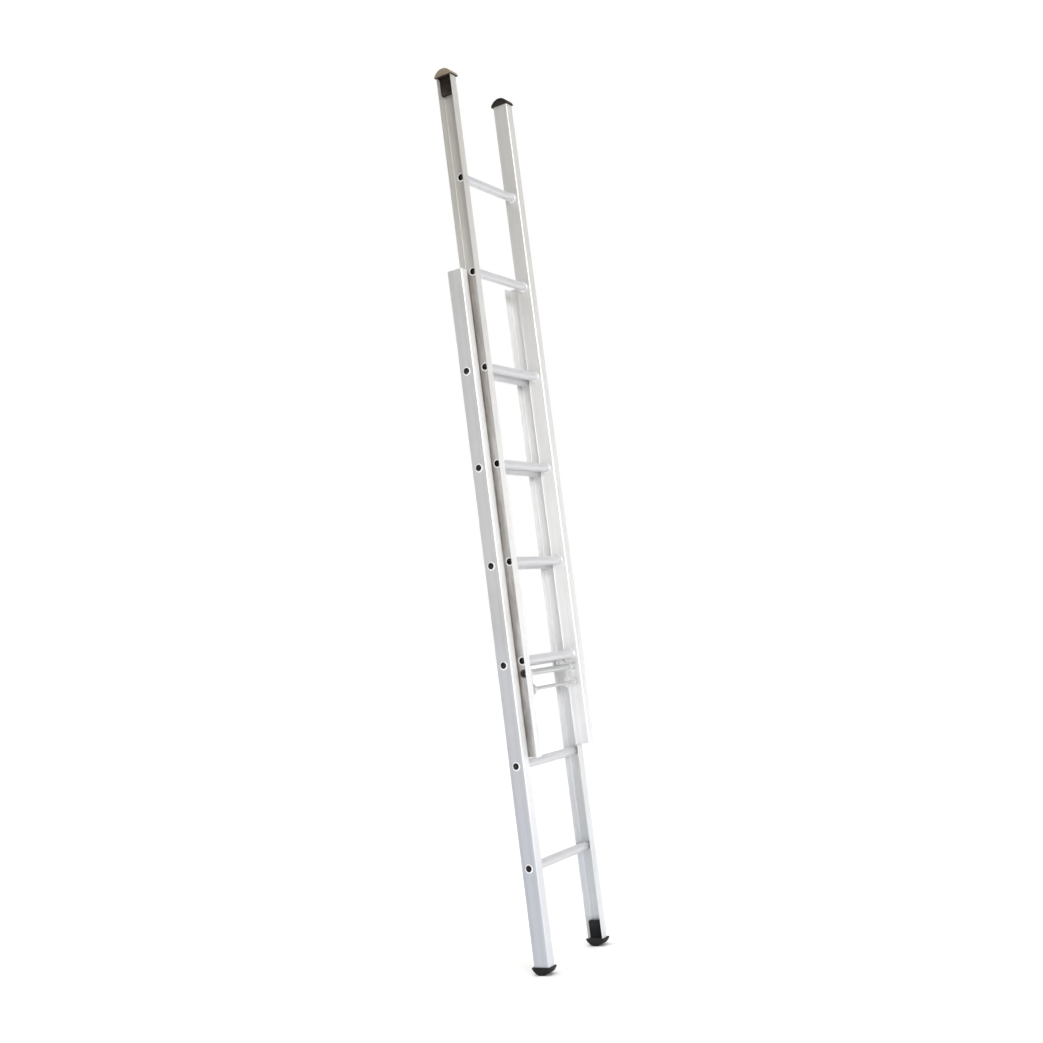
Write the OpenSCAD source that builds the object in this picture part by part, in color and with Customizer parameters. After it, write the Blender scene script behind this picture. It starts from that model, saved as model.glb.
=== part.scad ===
/* [Ladder] */
// Distance between rung centres
rung_pitch = 300; // [250:5:330]
// Stile below the lowest rung of each section
end_below = 286; // [180:1:400]
// Stile above the highest rung of each section
end_above = 318; // [180:1:400]
// Overall width across the base stiles
ladder_w = 364; // [300:1:460]
// Rung spaces that the fly section is raised by
raised_steps = 2; // [1:1:3]
// Height of each fly rung above the base rung that its hooks sit on
lock_rise = 7; // [0:0.5:10]

/* [Stiles] */
// Depth of the channel, front to back
stile_depth = 53; // [44:0.5:66]
// Length of the channel's flanges
stile_flange = 32; // [26:0.5:40]
// Wall of the channel
stile_wall = 1.8; // [1.4:0.1:2.6]
// Outer radius of the channel's two corners
stile_corner = 5; // [3:0.5:8]
// Sideways clearance between the two sections
side_clear = 1.2; // [0.5:0.1:2.5]
// Front-to-back clearance between the interlocked flanges
depth_clear = 2.4; // [0.8:0.1:4]

/* [Rungs] */
// Outer diameter of a rung over its ribs
rung_d = 27; // [24:0.5:30]
// Height of the anti-slip ribs
rib_h = 0.7; // [0.4:0.1:1]
// Width of an anti-slip rib
rib_w = 2; // [1:0.1:2.4]
// Number of anti-slip ribs round a rung
rib_count = 20; // [12:1:24]
// Wall of the tube between its ends
rung_wall = 2.2; // [1.6:0.1:3]
// Bore at the swaged ends
end_bore = 19.6; // [16:0.1:20]
// Hole in the stile that the swaged end fills
swage_d = 22.4; // [21:0.1:23]
// Diameter of the bead inside the stile
bead_d = 31; // [28:0.5:34]
// Width of the bead along the rung
bead_w = 3; // [2:0.5:5]
// Diameter of the flared lip outside the stile
flare_d = 27; // [25:0.5:30]
// Thickness of the flared lip
flare_t = 1.6; // [1:0.1:2.5]

/* [Rung lock] */
// Height of the lowest fly rung above the lock bar
bar_drop = 38.5; // [36:0.5:48]
// Diameter of the lock bar
bar_d = 18; // [14:0.5:20]
// Wall of the lock bar
bar_wall = 2; // [1:0.5:4]
// Running clearance of the bar in its bushes, on the radius
bar_clear = 0.06; // [0.02:0.01:0.1]
// Height of the lock bar above the tie rod
rod_drop = 50; // [46:1:64]
// Diameter of the tie rod
rod_d = 11; // [8:0.5:13]
// Thickness of a hook
hook_t = 8; // [5:0.5:12]
// Width of the hook's metal round the lock bar
hub_wall = 4; // [3:0.5:6]
// Diameter of the hook's round tail
tail_d = 38; // [30:0.5:40]
// Width of the hook between its hub and its tail
waist_w = 16; // [12:0.5:22]
// Width of the claw round the base rung
claw_t = 7.6; // [5:0.1:8.5]
// Gap between the claw and the base rung
claw_gap = 0.4; // [0.3:0.1:1]
// Length of the sleeves between the hooks and the fly stiles
sleeve_len = 22; // [16:1:60]
// Wall of the sleeves on the lock bar
bar_sleeve_wall = 2; // [1:0.5:4]
// Wall of the sleeves on the tie rod
rod_sleeve_wall = 6; // [2:0.5:7]
// Wall of a bush in the fly stile
bush_wall = 1.5; // [1:0.1:3]
// Width of a bush's flange round its body
bush_lip = 2; // [1:0.5:3]
// Thickness of a bush's flange
bush_flange_t = 2; // [1:0.5:3]

/* [End plugs] */
// Overhang of the sole round the stile
sole_lip = 4.5; // [2:0.5:6]
// Thickness of the sole at its edge
sole_edge = 2.5; // [2:0.5:6]
// Height of the sole, from the stile's end to its flat land
sole_h = 23; // [16:0.5:30]
// Width of the flat land at the middle of the sole
land_w = 12; // [8:0.5:16]
// Width of a tread groove across the sole
groove_w = 1.6; // [1:0.1:2]
// Depth of a tread groove
groove_deep = 1.4; // [0.8:0.1:2]
// Length of the block inside the stile
plug_len = 52; // [40:1:80]
// Depth of the block over the stile's web
plug_depth = 16; // [10:0.5:24]
// Chamfer along the block's free edges
plug_chamfer = 2; // [0.5:0.5:4]
// Clearance of the block in the stile
plug_clear = 0.25; // [0.1:0.05:0.5]

/* [Hidden] */
$fn = 48;
e = 0.01;
rungs = 6;

base_half = ladder_w / 2;
fly_half = base_half - stile_wall - side_clear - stile_flange;
section_gap = stile_depth - 2 * stile_wall - depth_clear;
base_y = section_gap / 2;
fly_y = -section_gap / 2;

section_len = end_below + (rungs - 1) * rung_pitch + end_above;
base_z = sole_h;
fly_z = base_z + raised_steps * rung_pitch + lock_rise;

rib_root_r = rung_d / 2 - rib_h;
cavity_r = rib_root_r - rung_wall;
end_depth = 8;

bar_z = fly_z + end_below - bar_drop;
bush_d = bar_d + 2 * (bar_clear + bush_wall);
catch_y = section_gap;
catch_z = bar_drop - lock_rise;
catch_dist = norm([catch_y, catch_z]);
catch_angle = atan2(catch_z, catch_y);
claw_in = rung_d / 2 + claw_gap;
nose_below = 13;
arm_w = 12;
arm_angle = catch_angle + 7;
end_gap = 0.4;
sleeve_end = fly_half - end_gap;
hook_end = sleeve_end - sleeve_len;

// A rectangle from x = 0 to w, centred on y, with its two corners at x = 0 rounded.
module web_rounded(w, d, r) {
    translate([r, -d / 2]) square([w - r, d]);
    translate([0, -d / 2 + r]) square([r + e, d - 2 * r]);
    for (s = [-1, 1]) translate([r, s * (d / 2 - r)]) circle(r = r);
}

// The channel's section: web at x = 0, flanges towards +x.
module channel() {
    difference() {
        web_rounded(stile_flange, stile_depth, stile_corner);
        translate([stile_wall, 0])
            web_rounded(stile_flange, stile_depth - 2 * stile_wall, stile_corner - stile_wall);
    }
}

// A round hole across the ladder.
module cross_hole(y, z, d) {
    translate([0, y, z]) rotate([0, 90, 0]) cylinder(d = d, h = ladder_w + 2, center = true);
}

// side is -1 for left and 1 for right.
module base_stile(side) {
    color("gainsboro") difference() {
        translate([side * base_half, base_y, base_z])
            mirror([side > 0 ? 1 : 0, 0, 0])
                linear_extrude(section_len) channel();
        for (i = [0 : rungs - 1])
            cross_hole(base_y, base_z + end_below + i * rung_pitch, swage_d);
    }
}

module fly_stile(side) {
    color("gainsboro") difference() {
        translate([side * fly_half, fly_y, fly_z])
            mirror([side < 0 ? 1 : 0, 0, 0])
                linear_extrude(section_len) channel();
        for (i = [0 : rungs - 1])
            cross_hole(fly_y, fly_z + end_below + i * rung_pitch, swage_d);
        cross_hole(fly_y, bar_z, bush_d);
    }
}

module ribbed_round() {
    circle(r = rib_root_r);
    for (i = [0 : rib_count - 1])
        rotate(i * 360 / rib_count)
            translate([0, -rib_w / 2]) square([rung_d / 2, rib_w]);
}

// A swaged end: bead against the stile, neck through it and flared lip outside. z = 0 is the stile's face.
module swaged_end() {
    rotate_extrude() polygon([
        [0, -bead_w - 1],
        [rib_root_r, -bead_w - 1],
        [bead_d / 2 - 0.8, -bead_w],
        [bead_d / 2, -bead_w + 0.8],
        [bead_d / 2, -0.8],
        [bead_d / 2 - 0.8, 0],
        [swage_d / 2, 0],
        [swage_d / 2, stile_wall],
        [flare_d / 2, stile_wall],
        [flare_d / 2, stile_wall + flare_t * 0.4],
        [end_bore / 2 + 1, stile_wall + flare_t],
        [0, stile_wall + flare_t]
    ]);
}

// A hollow rung between two stile faces that are span apart, along x and centred.
module rung(span) {
    color("silver") rotate([0, 90, 0]) difference() {
        union() {
            translate([0, 0, -span / 2 + bead_w]) linear_extrude(span - 2 * bead_w) ribbed_round();
            for (s = [0, 1]) mirror([0, 0, s]) translate([0, 0, span / 2]) swaged_end();
        }
        cylinder(d = end_bore, h = span + 20, center = true);
        rotate_extrude() polygon([
            [0, -span / 2 + end_depth],
            [end_bore / 2, -span / 2 + end_depth],
            [cavity_r, -span / 2 + end_depth + 2],
            [cavity_r, span / 2 - end_depth - 2],
            [end_bore / 2, span / 2 - end_depth],
            [0, span / 2 - end_depth]
        ]);
    }
}

module base_rung(i) {
    translate([0, base_y, base_z + end_below + (i - 1) * rung_pitch]) rung(ladder_w - 2 * stile_wall);
}

module fly_rung(i) {
    translate([0, fly_y, fly_z + end_below + (i - 1) * rung_pitch]) rung(2 * fly_half);
}

// The sole's outline: x is the ladder's depth, y is height, 0 at the stile's end.
module sole_outline() {
    half = stile_depth / 2 + sole_lip;
    rise = sole_h - sole_edge;
    radius = (half * half - land_w * land_w / 4 + rise * rise) / (2 * rise);
    arc_r = norm([half, radius - rise]);
    centre = radius - sole_h;
    difference() {
        intersection() {
            translate([0, centre]) circle(r = arc_r, $fn = 96);
            translate([-half, -sole_h]) square([2 * half, sole_h]);
        }
        for (s = [-1, 1], a = [18, 25, 32, 39, 46])
            translate([0, centre]) rotate(-90 + s * a)
                translate([arc_r - groove_deep, -groove_w / 2]) square([groove_deep + 1, groove_w]);
    }
}

// An end plug in the channel's own place: web at x = 0, flanges towards +x, sole below z = 0.
module plug() {
    inner = stile_depth - 2 * stile_wall - 2 * plug_clear;
    corner = stile_corner - stile_wall - plug_clear;
    translate([-sole_lip, 0, 0])
        rotate([90, 0, 90]) linear_extrude(stile_flange + 2 * sole_lip) sole_outline();
    translate([stile_wall + plug_clear, 0, 0]) intersection() {
        translate([0, 0, -e]) linear_extrude(plug_len + e) web_rounded(plug_depth, inner, corner);
        translate([0, inner / 2, 0]) rotate([90, 0, 0]) linear_extrude(inner) polygon([
            [0, -1],
            [plug_depth, -1],
            [plug_depth, plug_len - plug_chamfer],
            [plug_depth - plug_chamfer, plug_len],
            [0, plug_len]
        ]);
    }
}

module foot(side) {
    color([0.06, 0.06, 0.06])
        translate([side * base_half, base_y, base_z]) mirror([side > 0 ? 1 : 0, 0, 0]) plug();
}

module cap(side) {
    color([0.06, 0.06, 0.06])
        translate([side * fly_half, fly_y, fly_z + section_len])
            mirror([side < 0 ? 1 : 0, 0, 0]) mirror([0, 0, 1]) plug();
}

// A plastic bush in the fly stile: body through the web, flange inside the channel.
module bar_bush(side) {
    color([0.12, 0.12, 0.12])
        translate([side * fly_half, fly_y, bar_z]) rotate([0, side * 90, 0]) difference() {
            union() {
                cylinder(d = bush_d, h = stile_wall + bush_flange_t);
                translate([0, 0, stile_wall]) cylinder(d = bush_d + 2 * bush_lip, h = bush_flange_t);
            }
            translate([0, 0, -1]) cylinder(r = bar_d / 2 + bar_clear, h = stile_wall + bush_flange_t + 2);
        }
}

module lock_bar() {
    half = fly_half + stile_wall + bush_flange_t + 1.5;
    color("silver") translate([0, fly_y, bar_z]) rotate([0, 90, 0]) difference() {
        cylinder(d = bar_d, h = 2 * half, center = true);
        cylinder(d = bar_d - 2 * bar_wall, h = 2 * half + 2, center = true);
    }
}

module tie_rod() {
    color("silver") translate([0, fly_y, bar_z - rod_drop]) rotate([0, 90, 0])
        cylinder(d = rod_d, h = 2 * sleeve_end, center = true);
}

// A tube that keeps a hook away from the fly stile.
module sleeve(side, z, inner_d, wall) {
    color("lightgray") translate([side * hook_end, fly_y, z]) rotate([0, side * 90, 0]) difference() {
        cylinder(d = inner_d + 2 * wall, h = sleeve_len);
        translate([0, 0, -1]) cylinder(d = inner_d, h = sleeve_len + 2);
    }
}

module bar_sleeve(side) {
    sleeve(side, bar_z, bar_d, bar_sleeve_wall);
}

module rod_sleeve(side) {
    sleeve(side, bar_z - rod_drop, rod_d, rod_sleeve_wall);
}

// Ring round the bar between two radii, from angle a1 down to a2.
module ring_sector(r1, r2, a1, a2) {
    far = 2 * r2;
    intersection() {
        difference() {
            circle(r = r2);
            circle(r = r1);
        }
        polygon([[0, 0], [far * cos(a2), far * sin(a2)], [far * cos(a1), far * sin(a1)]]);
    }
}

// The hook's outline: x is towards the base, y is up, 0 at the lock bar.
module hook_outline() {
    difference() {
        union() {
            circle(d = bar_d + 2 * hub_wall);
            translate([-waist_w / 2, -rod_drop]) square([waist_w, rod_drop]);
            translate([0, -rod_drop]) circle(d = tail_d);
            rotate(arm_angle) translate([0, -arm_w / 2]) square([catch_dist - claw_in - claw_t / 2, arm_w]);
            translate([catch_y, catch_z]) circle(r = claw_in + claw_t);
            ring_sector(catch_dist + claw_in, catch_dist + claw_in + claw_t,
                        catch_angle + 8, catch_angle - nose_below);
        }
        translate([catch_y, catch_z]) circle(r = claw_in);
        ring_sector(catch_dist - claw_in, catch_dist + claw_in, catch_angle, catch_angle - 50);
        circle(d = bar_d);
        translate([0, -rod_drop]) circle(d = rod_d);
    }
}

module hook(side) {
    color("gainsboro")
        translate([side > 0 ? hook_end - hook_t : -hook_end, fly_y, bar_z])
            rotate([90, 0, 90]) linear_extrude(hook_t) hook_outline();
}

base_stile(-1);  // base_stile_left
base_stile(1);  // base_stile_right
base_rung(1);  // base_rung_1
base_rung(2);  // base_rung_2
base_rung(3);  // base_rung_3
base_rung(4);  // base_rung_4
base_rung(5);  // base_rung_5
base_rung(6);  // base_rung_6
foot(-1);  // foot_left
foot(1);  // foot_right
fly_stile(-1);  // fly_stile_left
fly_stile(1);  // fly_stile_right
fly_rung(1);  // fly_rung_1
fly_rung(2);  // fly_rung_2
fly_rung(3);  // fly_rung_3
fly_rung(4);  // fly_rung_4
fly_rung(5);  // fly_rung_5
fly_rung(6);  // fly_rung_6
cap(-1);  // cap_left
cap(1);  // cap_right
bar_bush(-1);  // bar_bush_left
bar_bush(1);  // bar_bush_right
lock_bar();
bar_sleeve(-1);  // bar_sleeve_left
bar_sleeve(1);  // bar_sleeve_right
hook(-1);  // hook_left
hook(1);  // hook_right
tie_rod();
rod_sleeve(-1);  // rod_sleeve_left
rod_sleeve(1);  // rod_sleeve_right
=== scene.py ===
import math

import bmesh
import bpy
from mathutils import Euler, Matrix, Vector


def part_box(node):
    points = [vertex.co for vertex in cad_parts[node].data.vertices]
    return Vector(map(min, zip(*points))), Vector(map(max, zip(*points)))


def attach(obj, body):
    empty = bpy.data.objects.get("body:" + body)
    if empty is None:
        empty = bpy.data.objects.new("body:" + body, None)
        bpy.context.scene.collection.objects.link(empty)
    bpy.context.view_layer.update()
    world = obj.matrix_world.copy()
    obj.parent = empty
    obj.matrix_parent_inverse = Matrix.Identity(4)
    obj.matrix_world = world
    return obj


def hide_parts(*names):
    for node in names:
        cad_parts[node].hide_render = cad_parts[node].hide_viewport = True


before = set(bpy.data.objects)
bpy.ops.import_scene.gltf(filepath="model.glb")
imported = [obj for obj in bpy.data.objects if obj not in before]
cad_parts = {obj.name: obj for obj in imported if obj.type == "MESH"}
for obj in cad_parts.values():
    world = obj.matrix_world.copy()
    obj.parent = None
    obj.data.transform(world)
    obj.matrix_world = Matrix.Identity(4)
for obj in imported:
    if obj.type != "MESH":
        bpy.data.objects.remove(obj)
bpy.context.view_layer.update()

# Where the camera stands, in metres, and how it is turned, in degrees about X, Y and Z.
CAMERA_PLACE = (-3.5343, -2.1221, 0.9667)
CAMERA_TURN = (95.2756, 7.2517, -58.2618)
CAMERA_LENS = 45.716
SENSOR = 36.0

# The room's light: its level, how it leans towards X, Y and Z, and its darkest value.
ROOM_LEVEL = 0.44
ROOM_LEAN = (0.10, -0.14, 0.0)
ROOM_DARKEST = 0.06

# The lamps: the power of each, and the direction that the key shines from.
OVERHEAD = 2.1
KEY = 2.15
KEY_FROM = (-0.52, -0.83, 0.20)
FILL = 4.5

# Places read from the frame.
BASE_WEB_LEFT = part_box("base_stile_left")
FLY_WEB_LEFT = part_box("fly_stile_left")
FLY_TOP = FLY_WEB_LEFT[1].z
BASE_FACE = -BASE_WEB_LEFT[0].x
FLY_FACE = -FLY_WEB_LEFT[1].x

# Radii of a rung over its ribs and of its bore, and the wall of a stile.
RUNG_CREST = 0.0135
BORE_R = 0.0098
STILE_WALL = 0.0018

# Softened edges: what counts as a sharp edge, and how far each kind of piece is rounded off.
SHARP = math.radians(35)
PLUG_EDGE = 0.0004
HOOK_EDGE = 0.0008

# Colours that more than one piece takes, or that stand for a finish or for painted shade.
# Painted shade: the dark brown of the slot between the base stile's flange and the fly's web.
PAINTED_CHANNEL_SHADE = (0.085, 0.050, 0.022)
BLACK = (0.010, 0.0095, 0.010)
BLACK_DUST = (0.11, 0.105, 0.10)
SLEEVE_ZINC = (0.64, 0.645, 0.65)
ROD_ZINC = (0.64, 0.65, 0.665)
RUNG_TONE = (0.735, 0.74, 0.765)


# ---------------------------------------------------------------- node helpers

class Nodes:
    """A material's node tree, with short calls for the nodes used here."""

    def __init__(self, name):
        self.material = bpy.data.materials.new(name)
        self.material.use_nodes = True
        self.tree = self.material.node_tree
        self.tree.nodes.clear()
        self.out = self.tree.nodes.new("ShaderNodeOutputMaterial")
        self.shader = self.tree.nodes.new("ShaderNodeBsdfPrincipled")
        self.tree.links.new(self.shader.outputs[0], self.out.inputs[0])
        self.place = self.tree.nodes.new("ShaderNodeTexCoord").outputs["Object"]

    def link(self, a, b):
        self.tree.links.new(a, b)

    def set(self, **values):
        for name, value in values.items():
            self.shader.inputs[name.replace("_", " ")].default_value = value

    def scaled(self, scale, offset=(0, 0, 0)):
        n = self.tree.nodes.new("ShaderNodeMapping")
        n.inputs["Scale"].default_value = scale
        n.inputs["Location"].default_value = offset
        self.link(self.place, n.inputs["Vector"])
        return n.outputs[0]

    def noise(self, scale, detail=3.0, rough=0.5, offset=(0, 0, 0)):
        n = self.tree.nodes.new("ShaderNodeTexNoise")
        n.inputs["Scale"].default_value = 1.0
        n.inputs["Detail"].default_value = detail
        n.inputs["Roughness"].default_value = rough
        self.link(self.scaled(scale, offset), n.inputs["Vector"])
        return n.outputs["Fac"]

    def cells(self, scale, offset=(0, 0, 0)):
        n = self.tree.nodes.new("ShaderNodeTexVoronoi")
        n.inputs["Scale"].default_value = 1.0
        self.link(self.scaled(scale, offset), n.inputs["Vector"])
        return n.outputs["Distance"]

    def ramp(self, value, low, high, out_low=0.0, out_high=1.0):
        n = self.tree.nodes.new("ShaderNodeMapRange")
        n.inputs["From Min"].default_value = low
        n.inputs["From Max"].default_value = high
        n.inputs["To Min"].default_value = out_low
        n.inputs["To Max"].default_value = out_high
        self.link(value, n.inputs["Value"])
        return n.outputs[0]

    def math(self, operation, a, b=None):
        n = self.tree.nodes.new("ShaderNodeMath")
        n.operation = operation
        for i, v in enumerate((a, b)):
            if v is None:
                continue
            if isinstance(v, (int, float)):
                n.inputs[i].default_value = v
            else:
                self.link(v, n.inputs[i])
        return n.outputs[0]

    def mix(self, fac, a, b, blend="MIX"):
        n = self.tree.nodes.new("ShaderNodeMix")
        n.data_type = "RGBA"
        n.blend_type = blend
        for socket, v in ((n.inputs["Factor"], fac), (n.inputs["A"], a), (n.inputs["B"], b)):
            if isinstance(v, (int, float)):
                socket.default_value = v
            elif isinstance(v, tuple):
                socket.default_value = (*v, 1.0) if len(v) == 3 else v
            else:
                self.link(v, socket)
        return n.outputs["Result"] if "Result" in n.outputs else n.outputs[2]

    def axis(self, name):
        n = self.tree.nodes.new("ShaderNodeSeparateXYZ")
        self.link(self.place, n.inputs[0])
        return n.outputs[name]

    def facing(self, name):
        n = self.tree.nodes.new("ShaderNodeSeparateXYZ")
        self.link(self.tree.nodes.new("ShaderNodeNewGeometry").outputs["True Normal"], n.inputs[0])
        return n.outputs[name]

    def edges(self):
        return self.tree.nodes.new("ShaderNodeNewGeometry").outputs["Pointiness"]

    def bump(self, heights):
        """heights is a list of (value, strength, distance in metres), chained from first to last."""
        normal = None
        for value, strength, distance in heights:
            n = self.tree.nodes.new("ShaderNodeBump")
            n.inputs["Strength"].default_value = strength
            n.inputs["Distance"].default_value = distance
            self.link(value, n.inputs["Height"])
            if normal is not None:
                self.link(normal, n.inputs["Normal"])
            normal = n.outputs[0]
        self.link(normal, self.shader.inputs["Normal"])

    def color(self, socket):
        self.link(socket, self.shader.inputs["Base Color"])

    def roughness(self, socket):
        self.link(socket, self.shader.inputs["Roughness"])


def along(axis, across, lengthways):
    """A noise scale that is fine across a drawn part and long along it."""
    return tuple(lengthways if i == axis else across for i in range(3))


# ---------------------------------------------------------------- materials

def drawn_aluminium(name, tone, seed, painted_channel_shade=None, painted_front_light=None, metal=0.4, rough=0.37):
    """Mill-finish aluminium, drawn along Z, with die lines, handling marks and dark specks.

    tone is (low, middle, high) colours up the ladder, painting how the light's brightness and warmth
    change with height.
    The channel's painted shade is given as (y where it is thickest, reach, z where it ends), inside the
    channel.
    The painted light on the faces towards -Y is given as (low, high) colours up the ladder; those faces
    also take less metal.
    """
    m = Nodes(name)
    m.set(Metallic=metal)
    shift = (seed * 3.1, seed * 1.7, seed * 2.3)
    bands = m.noise(along(2, 70, 0.35), 2, 0.5, shift)
    lines = m.noise(along(2, 900, 1.2), 3, 0.6, shift)
    cloud = m.noise((7, 7, 4), 4, 0.55, shift)
    specks = m.cells((160, 160, 110), shift)
    height = m.axis("Z")
    base = m.mix(m.ramp(height, 0.3, 1.3), tone[0], tone[1])
    base = m.mix(m.ramp(height, 1.5, 2.4), base, tone[2])
    # Painted light: faces towards -Y take lighter colours than the lamps give them, and less metal.
    if painted_front_light:
        front = m.ramp(m.facing("Y"), -0.5, -0.9)
        base = m.mix(front, base, m.mix(m.ramp(height, 0.3, 0.9), painted_front_light[0], painted_front_light[1]))
        m.link(m.ramp(front, 0.0, 1.0, metal, 0.4 * metal), m.shader.inputs["Metallic"])
    base = m.mix(m.ramp(bands, 0.35, 0.65, 0.16, 0.0), base, (0.55, 0.55, 0.55), "MULTIPLY")
    base = m.mix(m.ramp(lines, 0.3, 0.75, 0.0, 0.30), base, (0.60, 0.60, 0.60), "MULTIPLY")
    base = m.mix(m.ramp(cloud, 0.55, 0.8, 0.0, 0.30), base, (0.66, 0.64, 0.60), "MULTIPLY")
    speck_mask = m.math("MULTIPLY", m.ramp(specks, 0.05, 0.03), m.ramp(cloud, 0.58, 0.62))
    base = m.mix(m.math("MULTIPLY", speck_mask, 0.6), base, (0.22, 0.21, 0.20))
    # Painted shade: a dark brown band on the fly web's outer face near its rear corner, up to the base
    # stile's top.
    if painted_channel_shade:
        thick_y, reach, end_z = painted_channel_shade
        near = m.ramp(m.math("ABSOLUTE", m.math("SUBTRACT", m.axis("Y"), thick_y)), 0.0, reach, 1.0, 0.0)
        ragged = m.math("ADD", near, m.ramp(m.noise((60, 60, 9), 4, 0.65, shift), 0.3, 0.7, -0.22, 0.22))
        mask = m.math("MULTIPLY", m.ramp(ragged, 0.05, 0.95), m.ramp(height, end_z, end_z - 0.02))
        mask = m.math("MULTIPLY", mask, m.ramp(m.axis("Y"), thick_y - 0.0004, thick_y - 0.0012))
        inside = m.ramp(m.math("ABSOLUTE", m.axis("X")), FLY_FACE + 0.0006, FLY_FACE + 0.0014)
        mask = m.math("MULTIPLY", mask, inside)
        base = m.mix(m.math("MULTIPLY", mask, 0.93), base, PAINTED_CHANNEL_SHADE)
        m.link(m.math("MULTIPLY", m.math("SUBTRACT", 1.0, mask), metal), m.shader.inputs["Metallic"])
    m.color(base)
    handled = m.ramp(cloud, 0.3, 0.7, rough - 0.05, rough + 0.06)
    m.roughness(m.math("ADD", handled, m.ramp(lines, 0.3, 0.7, -0.03, 0.04)))
    scratches = m.noise((35, 35, 900), 2, 0.7, shift)
    m.bump([
        (lines, 0.08, 0.0003),
        (bands, 0.05, 0.0008),
        (m.ramp(scratches, 0.68, 0.74), 0.05, 0.0002),
    ])
    return m.material


def ribbed_aluminium(name, axis, faces, tone, seed):
    """A rung: ribs worn bright, dust in the grooves, polished flared lips and a bore painted near-black
    as shade.

    axis is the rung's (y, z), and faces is how far the stile's outer face is from the middle.
    """
    m = Nodes(name)
    m.set(Metallic=0.5)
    shift = (seed * 1.3, seed * 2.9, seed * 0.7)
    lines = m.noise(along(0, 900, 2.0), 3, 0.6, shift)
    cloud = m.noise((30, 30, 30), 4, 0.6, shift)
    dy = m.math("SUBTRACT", m.axis("Y"), axis[0])
    dz = m.math("SUBTRACT", m.axis("Z"), axis[1])
    radius = m.math("SQRT", m.math("ADD", m.math("MULTIPLY", dy, dy), m.math("MULTIPLY", dz, dz)))
    out = m.math("ABSOLUTE", m.axis("X"))
    low_in_rib = m.ramp(radius, RUNG_CREST - 0.0001, RUNG_CREST - 0.0006)
    groove = m.math("MULTIPLY", low_in_rib, m.ramp(out, faces, faces - 0.001))
    lip = m.ramp(out, faces, faces + 0.0003)
    bore = m.ramp(radius, BORE_R + 0.0004, BORE_R + 0.0001)
    base = m.mix(m.ramp(cloud, 0.3, 0.7), tuple(c * 0.95 for c in tone), tone)
    base = m.mix(m.ramp(lines, 0.35, 0.75, 0.0, 0.3), base, tuple(c * 0.88 for c in tone))
    base = m.mix(m.math("MULTIPLY", groove, 0.30), base, (0.40, 0.39, 0.37))
    base = m.mix(m.math("MULTIPLY", lip, 0.9), base, (1.0, 1.0, 1.0))
    # Painted shade: the inside of the bore is coloured near-black, with less metal and more roughness.
    painted_bore_shade = m.math("MULTIPLY", bore, m.ramp(cloud, 0.25, 0.75, 1.0, 0.94))
    base = m.mix(painted_bore_shade, base, (0.012, 0.011, 0.010))
    m.color(base)
    m.link(m.math("MULTIPLY", m.math("SUBTRACT", 1.0, bore), 0.5), m.shader.inputs["Metallic"])
    m.roughness(m.math("ADD", m.ramp(cloud, 0.3, 0.7, 0.34, 0.46), m.math("MULTIPLY", bore, 0.4)))
    m.bump([(lines, 0.12, 0.0002), (cloud, 0.08, 0.0004)])
    return m.material


def moulded_rubber(name, dark, dust, dust_amount, seed, split_z=None):
    """Moulded rubber with a fine grain, pale dust and scuffed edges.

    Above split_z it takes the dust's own colour.
    """
    m = Nodes(name)
    m.set(Metallic=0.0)
    m.shader.inputs["Specular IOR Level"].default_value = 0.18
    shift = (seed, seed * 2, seed * 3)
    grain = m.noise((1400, 1400, 1400), 2, 0.5, shift)
    cloud = m.noise((45, 45, 45), 5, 0.65, shift)
    streaks = m.noise((120, 30, 30), 3, 0.6, shift)
    wear = m.ramp(m.edges(), 0.52, 0.60)
    base = m.mix(m.ramp(cloud, 0.35, 0.7), dark, tuple(c * 1.7 for c in dark))
    base = m.mix(m.ramp(cloud, 0.5, 0.75, 0.0, dust_amount), base, dust)
    base = m.mix(m.math("MULTIPLY", wear, m.ramp(streaks, 0.4, 0.7, 0.1, 0.5)), base, dust)
    if split_z is not None:
        above = m.ramp(m.axis("Z"), split_z, split_z + 0.0008)
        faded = m.mix(m.ramp(cloud, 0.3, 0.7), tuple(c * 0.8 for c in dust), dust)
        base = m.mix(m.math("MULTIPLY", above, 0.9), base, faded)
    m.color(base)
    m.roughness(m.ramp(cloud, 0.3, 0.7, 0.58, 0.82))
    m.bump([(grain, 0.25, 0.0002), (cloud, 0.10, 0.0008)])
    return m.material


def plated_steel(name, tone, seed, bearing=None):
    """Zinc-plated steel: spangled tint, drawn lines along X and a faint yellow cast in places.

    Past bearing, a distance from the middle along X, it is near-black and not metallic.
    """
    m = Nodes(name)
    m.set(Metallic=0.8)
    shift = (seed * 2.1, seed, seed * 1.4)
    spangle = m.cells((260, 260, 260), shift)
    lines = m.noise(along(0, 1200, 4), 3, 0.6, shift)
    cloud = m.noise((40, 40, 40), 4, 0.6, shift)
    base = m.mix(m.ramp(spangle, 0.1, 0.8), tuple(c * 0.9 for c in tone), tone)
    base = m.mix(m.ramp(cloud, 0.5, 0.75, 0.0, 0.4), base, (0.78, 0.75, 0.66))
    base = m.mix(m.ramp(lines, 0.3, 0.7, 0.0, 0.25), base, tuple(c * 0.8 for c in tone))
    if bearing:
        dark_end = m.ramp(m.math("ABSOLUTE", m.axis("X")), bearing, bearing + 0.0005)
        base = m.mix(dark_end, base, (0.020, 0.018, 0.016))
        m.link(m.math("MULTIPLY", m.math("SUBTRACT", 1.0, dark_end), 0.8), m.shader.inputs["Metallic"])
    m.color(base)
    m.roughness(m.ramp(spangle, 0.1, 0.8, 0.28, 0.42))
    m.bump([(lines, 0.15, 0.0002), (spangle, 0.04, 0.0003)])
    return m.material


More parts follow.
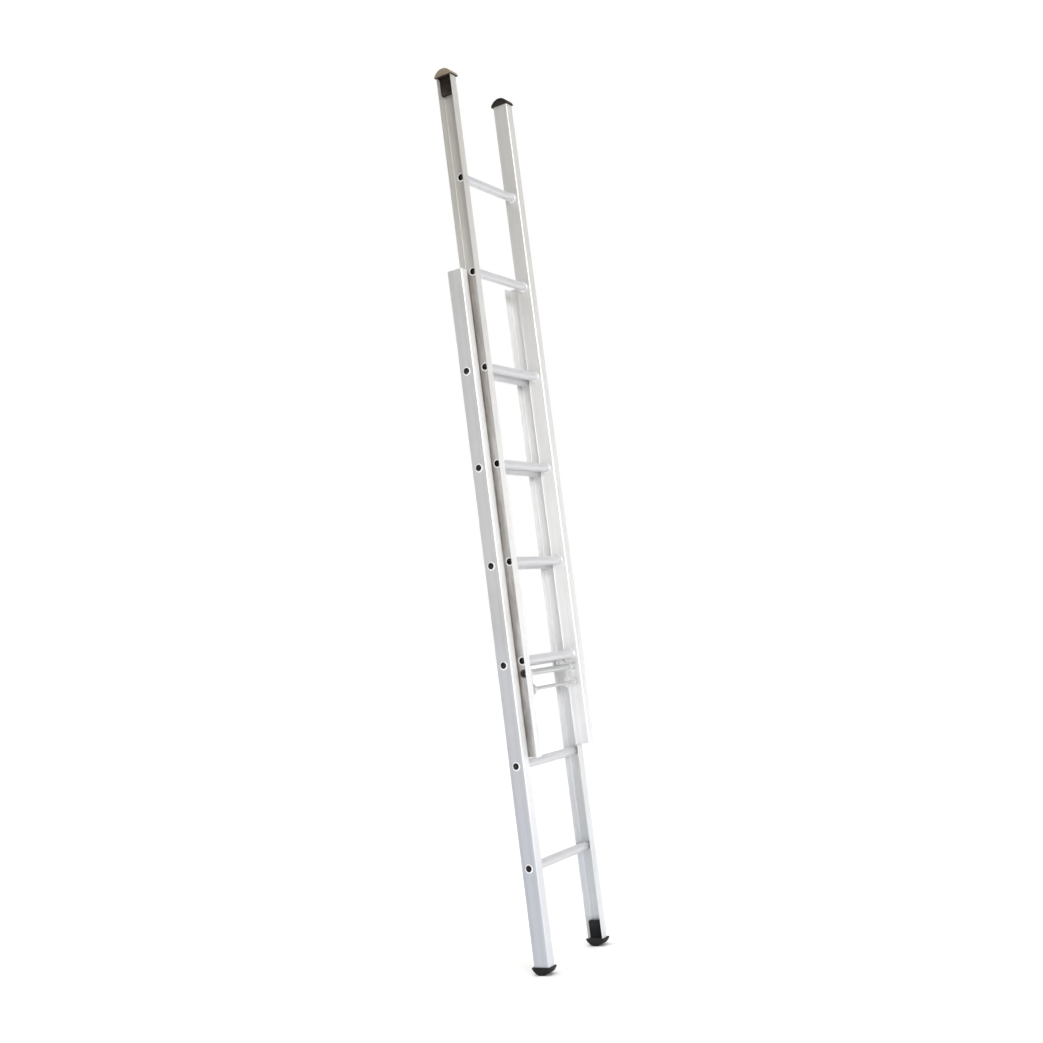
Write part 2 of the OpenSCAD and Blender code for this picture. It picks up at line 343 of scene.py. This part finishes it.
def cast_aluminium(name, tone, seed):
    """Tumbled casting: pebbly skin, pale edges, grey soiling in the hollows."""
    m = Nodes(name)
    m.set(Metallic=0.75)
    shift = (seed * 1.9, seed * 0.6, seed)
    pebble = m.noise((520, 520, 520), 3, 0.6, shift)
    cloud = m.noise((60, 60, 60), 4, 0.6, shift)
    wear = m.ramp(m.edges(), 0.51, 0.58)
    base = m.mix(m.ramp(cloud, 0.3, 0.7), tuple(c * 0.88 for c in tone), tone)
    base = m.mix(m.ramp(pebble, 0.4, 0.65, 0.0, 0.25), base, tuple(c * 0.75 for c in tone))
    base = m.mix(m.math("MULTIPLY", wear, 0.6), base, (0.93, 0.93, 0.93))
    m.color(base)
    m.roughness(m.ramp(pebble, 0.3, 0.7, 0.40, 0.58))
    m.bump([(pebble, 0.30, 0.0003), (cloud, 0.10, 0.0006)])
    return m.material


def moulded_nylon(name, seed):
    """Black nylon with a fine spark-eroded grain and grey scuffs."""
    m = Nodes(name)
    grain = m.noise((1800, 1800, 1800), 2, 0.5, (seed, seed, seed))
    cloud = m.noise((70, 70, 70), 3, 0.6, (seed, seed, seed))
    wear = m.ramp(m.edges(), 0.52, 0.6)
    base = m.mix(m.ramp(cloud, 0.3, 0.7), (0.012, 0.012, 0.012), (0.028, 0.027, 0.026))
    base = m.mix(m.math("MULTIPLY", wear, 0.5), base, (0.16, 0.16, 0.16))
    m.color(base)
    m.roughness(m.ramp(cloud, 0.3, 0.7, 0.42, 0.6))
    m.bump([(grain, 0.2, 0.0001)])
    return m.material


def pale_floor():
    m = Nodes("pale_floor")
    cloud = m.noise((3, 3, 3), 3, 0.5)
    m.color(m.mix(m.ramp(cloud, 0.3, 0.7), (0.90, 0.90, 0.90), (0.93, 0.93, 0.93)))
    m.set(Roughness=0.9)
    m.shader.inputs["Specular IOR Level"].default_value = 0.1
    return m.material


def dress(node, material):
    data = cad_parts[node].data
    data.materials.clear()
    data.materials.append(material)


def soften(node, body, width, steps, material):
    """A moulded or cast stand-in for a node: its outline with every sharp edge rounded off by width."""
    mesh = bpy.data.meshes.new(f"{node}_soft")
    b = bmesh.new()
    b.from_mesh(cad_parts[node].data)
    bmesh.ops.remove_doubles(b, verts=b.verts, dist=2e-6)
    bmesh.ops.dissolve_limit(b, angle_limit=math.radians(1.5), verts=b.verts, edges=b.edges)
    sharp = [e for e in b.edges if e.is_manifold and e.calc_face_angle(0.0) > SHARP]
    bmesh.ops.bevel(
        b, geom=sharp, offset=width, segments=steps, profile=0.5, affect="EDGES", clamp_overlap=True
    )
    bmesh.ops.triangulate(b, faces=[f for f in b.faces if len(f.verts) > 4])
    for f in b.faces:
        f.smooth = True
    for e in b.edges:
        e.smooth = e.calc_face_angle(0.0) < SHARP
    b.to_mesh(mesh)
    b.free()
    piece = bpy.data.objects.new(f"{node}_soft", mesh)
    bpy.context.scene.collection.objects.link(piece)
    mesh.materials.append(material)
    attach(piece, body)
    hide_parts(node)


def dress_all():
    # Painted light and shade: the left stiles take darker tones than the right ones, and each tone
    # changes up the ladder as the light does.
    left_base = ((0.53, 0.555, 0.61), (0.71, 0.71, 0.72), (0.705, 0.705, 0.705))
    right_base = ((0.80, 0.82, 0.85), (0.97, 0.97, 0.97), (0.96, 0.955, 0.945))
    left_fly = ((0.88, 0.90, 0.93), (0.86, 0.855, 0.845), (0.63, 0.615, 0.585))
    right_fly = ((0.84, 0.85, 0.88), (0.84, 0.84, 0.835), (0.70, 0.69, 0.665))
    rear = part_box("fly_stile_left")[1].y
    # Painted shade in the left fly stile's channel, ending at the base stile's top.
    painted_channel_shade = (rear, 0.040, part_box("base_stile_left")[1].z)
    # Painted light on the base stiles' faces towards -Y.
    left_painted_front_light = ((0.63, 0.64, 0.67), (0.93, 0.93, 0.93))
    right_painted_front_light = ((0.64, 0.66, 0.69), (0.80, 0.80, 0.80))
    for i, side in enumerate(("left", "right")):
        tone, painted_front_light = ((left_base, left_painted_front_light), (right_base, right_painted_front_light))[i]
        skin = drawn_aluminium(f"base_stile_{side}_skin", tone, 1 + i, painted_front_light=painted_front_light)
        dress(f"base_stile_{side}", skin)
        tone, fly_painted_shade = ((left_fly, painted_channel_shade), (right_fly, None))[i]
        dress(f"fly_stile_{side}", drawn_aluminium(f"fly_stile_{side}_skin", tone, 4 + i, fly_painted_shade))
        rubber = moulded_rubber(f"foot_{side}_rubber", BLACK, BLACK_DUST, 0.06, 8 + i)
        dress(f"foot_{side}", rubber)
        soften(f"foot_{side}", "base", PLUG_EDGE, 2, rubber)
        cast = cast_aluminium(f"hook_{side}_cast", (0.70, 0.70, 0.705), 20 + i)
        dress(f"hook_{side}", cast)
        soften(f"hook_{side}", "lock", HOOK_EDGE, 3, cast)
        dress(f"bar_bush_{side}", moulded_nylon(f"bush_{side}_nylon", 30 + i))
        dress(f"bar_sleeve_{side}", plated_steel(f"bar_sleeve_{side}_zinc", SLEEVE_ZINC, 24 + i))
        dress(f"rod_sleeve_{side}", plated_steel(f"rod_sleeve_{side}_zinc", SLEEVE_ZINC, 26 + i))
    faded = moulded_rubber(
        "cap_left_rubber", (0.0105, 0.0075, 0.0060), (0.29, 0.24, 0.18), 0.03, 12, FLY_TOP + 0.0005
    )
    dusty = moulded_rubber("cap_right_rubber", (0.014, 0.0115, 0.0095), (0.17, 0.14, 0.11), 0.08, 13)
    for node, rubber, slot in (("cap_left", faded, "cap_tan"), ("cap_right", dusty, "end_rubber")):
        dress(node, rubber)
        soften(node, "fly", PLUG_EDGE, 2, rubber)
    dress("lock_bar", plated_steel("lock_bar_zinc", ROD_ZINC, 28, FLY_FACE + STILE_WALL))
    dress("tie_rod", plated_steel("tie_rod_zinc", ROD_ZINC, 29))
    for i in range(1, 7):
        for section, face in (("base", BASE_FACE), ("fly", FLY_FACE + STILE_WALL)):
            node = f"{section}_rung_{i}"
            low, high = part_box(node)
            middle = ((low.y + high.y) / 2, (low.z + high.z) / 2)
            seed = 40 + i + 10 * (section == "fly")
            dress(node, ribbed_aluminium(f"{node}_skin", middle, face, RUNG_TONE, seed))


# ---------------------------------------------------------------- stage

def make_camera():
    data = bpy.data.cameras.new("camera")
    data.sensor_width = SENSOR
    data.lens = CAMERA_LENS
    data.clip_end = 100
    camera = bpy.data.objects.new("camera", data)
    camera.location = CAMERA_PLACE
    camera.rotation_euler = Euler([math.radians(a) for a in CAMERA_TURN], "XYZ")
    bpy.context.scene.collection.objects.link(camera)
    bpy.context.scene.camera = camera


def make_floor():
    mesh = bpy.data.meshes.new("floor")
    b = bmesh.new()
    bmesh.ops.create_circle(b, cap_ends=True, segments=96, radius=30)
    b.to_mesh(mesh)
    b.free()
    floor = bpy.data.objects.new("floor", mesh)
    bpy.context.scene.collection.objects.link(floor)
    mesh.materials.append(pale_floor())


def sun(name, power, spread, source):
    """A soft lamp that shines from the direction source on everything alike."""
    data = bpy.data.lights.new(name, "SUN")
    data.energy = power
    data.angle = math.radians(spread)
    lamp = bpy.data.objects.new(name, data)
    lamp.location = Vector(source) * 5
    lamp.rotation_euler = (-Vector(source)).to_track_quat("-Z", "Y").to_euler()
    bpy.context.scene.collection.objects.link(lamp)


def strip(name, place, aim, size, power):
    """An upright soft strip behind the ladder, unseen itself."""
    data = bpy.data.lights.new(name, "AREA")
    data.shape = "RECTANGLE"
    data.size, data.size_y = size
    data.energy = power
    lamp = bpy.data.objects.new(name, data)
    lamp.location = place
    lamp.rotation_euler = (Vector(aim) - Vector(place)).to_track_quat("-Z", "Y").to_euler()
    lamp.visible_camera = False
    bpy.context.scene.collection.objects.link(lamp)


def make_world():
    """White to the camera. To the rest, a soft room, brighter towards +X and -Y and warmer overhead."""
    world = bpy.data.worlds.new("studio")
    bpy.context.scene.world = world
    world.use_nodes = True
    tree = world.node_tree
    tree.nodes.clear()
    new, link = tree.nodes.new, tree.links.new
    way = new("ShaderNodeTexCoord").outputs["Generated"]
    lean = new("ShaderNodeVectorMath")
    lean.operation = "DOT_PRODUCT"
    lean.inputs[1].default_value = ROOM_LEAN
    link(way, lean.inputs[0])
    level = new("ShaderNodeMath")
    level.operation = "ADD"
    level.inputs[1].default_value = ROOM_LEVEL
    link(lean.outputs["Value"], level.inputs[0])
    floor = new("ShaderNodeMath")
    floor.operation = "MAXIMUM"
    floor.inputs[1].default_value = ROOM_DARKEST
    link(level.outputs[0], floor.inputs[0])
    split = new("ShaderNodeSeparateXYZ")
    link(way, split.inputs[0])
    tint = new("ShaderNodeMix")
    tint.data_type = "RGBA"
    tint.inputs["A"].default_value = (0.97, 0.985, 1.0, 1.0)
    tint.inputs["B"].default_value = (1.0, 0.975, 0.935, 1.0)
    up = new("ShaderNodeMapRange")
    up.inputs["From Min"].default_value = 0.0
    up.inputs["From Max"].default_value = 0.6
    link(split.outputs["Z"], up.inputs["Value"])
    link(up.outputs[0], tint.inputs["Factor"])
    room = new("ShaderNodeBackground")
    link(tint.outputs["Result"] if "Result" in tint.outputs else tint.outputs[2], room.inputs["Color"])
    link(floor.outputs[0], room.inputs["Strength"])
    white = new("ShaderNodeBackground")
    white.inputs["Color"].default_value = (1, 1, 1, 1)
    white.inputs["Strength"].default_value = 1.0
    pick = new("ShaderNodeMixShader")
    link(new("ShaderNodeLightPath").outputs["Is Camera Ray"], pick.inputs["Fac"])
    link(room.outputs[0], pick.inputs[1])
    link(white.outputs[0], pick.inputs[2])
    link(pick.outputs[0], new("ShaderNodeOutputWorld").inputs["Surface"])


def make_light():
    make_world()
    sun("overhead", OVERHEAD, 50, (0, 0, 1))
    sun("key", KEY, 24, KEY_FROM)
    strip("fill", (-0.10, 0.55, 1.35), (0.147, -0.02, 1.35), (0.25, 1.5), FILL)
    view = bpy.context.scene.view_settings
    view.view_transform = "Standard"
    view.look = "None"


make_camera()
make_floor()
make_light()
dress_all()
